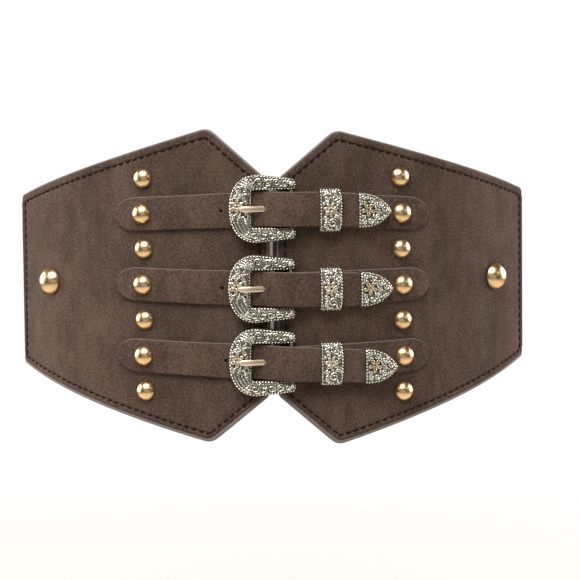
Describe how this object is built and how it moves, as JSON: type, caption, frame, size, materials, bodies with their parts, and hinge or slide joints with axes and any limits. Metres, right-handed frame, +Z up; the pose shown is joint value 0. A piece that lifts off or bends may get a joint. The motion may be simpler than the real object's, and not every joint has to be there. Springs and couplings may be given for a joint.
{
  "type": "corset belt",
  "caption": "Waist-shaping leather belt with pointed front panels, buckled straps, cast keepers and tips, domed studs and an elastic back.",
  "frame": {"origin": "middle of the waist hollow, at mid height of the front panels", "axes": "+X towards the right of the front as seen from in front, where the strap tips point, -Y out of the front, +Z up"},
  "size_m": [0.3102, 0.1811, 0.186],
  "materials": {
    "panel_leather": "brushed nubuck, mottled",
    "strap_leather": "brushed nubuck, mottled",
    "elastic": "ribbed woven elastic",
    "clasp_steel": "dull antique",
    "antique_metal": "cast relief with dark patina",
    "gold_metal": "polished pale gold"
  },
  "bodies": {
    "root": {"panel_left": "panel_leather", "panel_right": "panel_leather", "back_band": "elastic", "centre_clasp": "clasp_steel", "tongue_strap_1": "strap_leather", "tongue_strap_2": "strap_leather", "tongue_strap_3": "strap_leather", "buckle_strap_1": "strap_leather", "buckle_strap_2": "strap_leather", "buckle_strap_3": "strap_leather", "buckle_frame_1": "antique_metal", "buckle_frame_2": "antique_metal", "buckle_frame_3": "antique_metal", "prong_1": "gold_metal", "prong_2": "gold_metal", "prong_3": "gold_metal", "keeper_1": "antique_metal", "keeper_2": "antique_metal", "keeper_3": "antique_metal", "strap_tip_1": "antique_metal", "strap_tip_2": "antique_metal", "strap_tip_3": "antique_metal", "stud_left_1": "gold_metal", "stud_left_2": "gold_metal", "stud_left_3": "gold_metal", "stud_left_4": "gold_metal", "stud_left_5": "gold_metal", "stud_left_6": "gold_metal", "stud_left_7": "gold_metal", "stud_right_1": "gold_metal", "stud_right_2": "gold_metal", "stud_right_3": "gold_metal", "stud_right_4": "gold_metal", "stud_right_5": "gold_metal", "stud_right_6": "gold_metal", "stud_right_7": "gold_metal", "end_stud_left": "gold_metal", "end_stud_right": "gold_metal"}
  },
  "joints": []
}
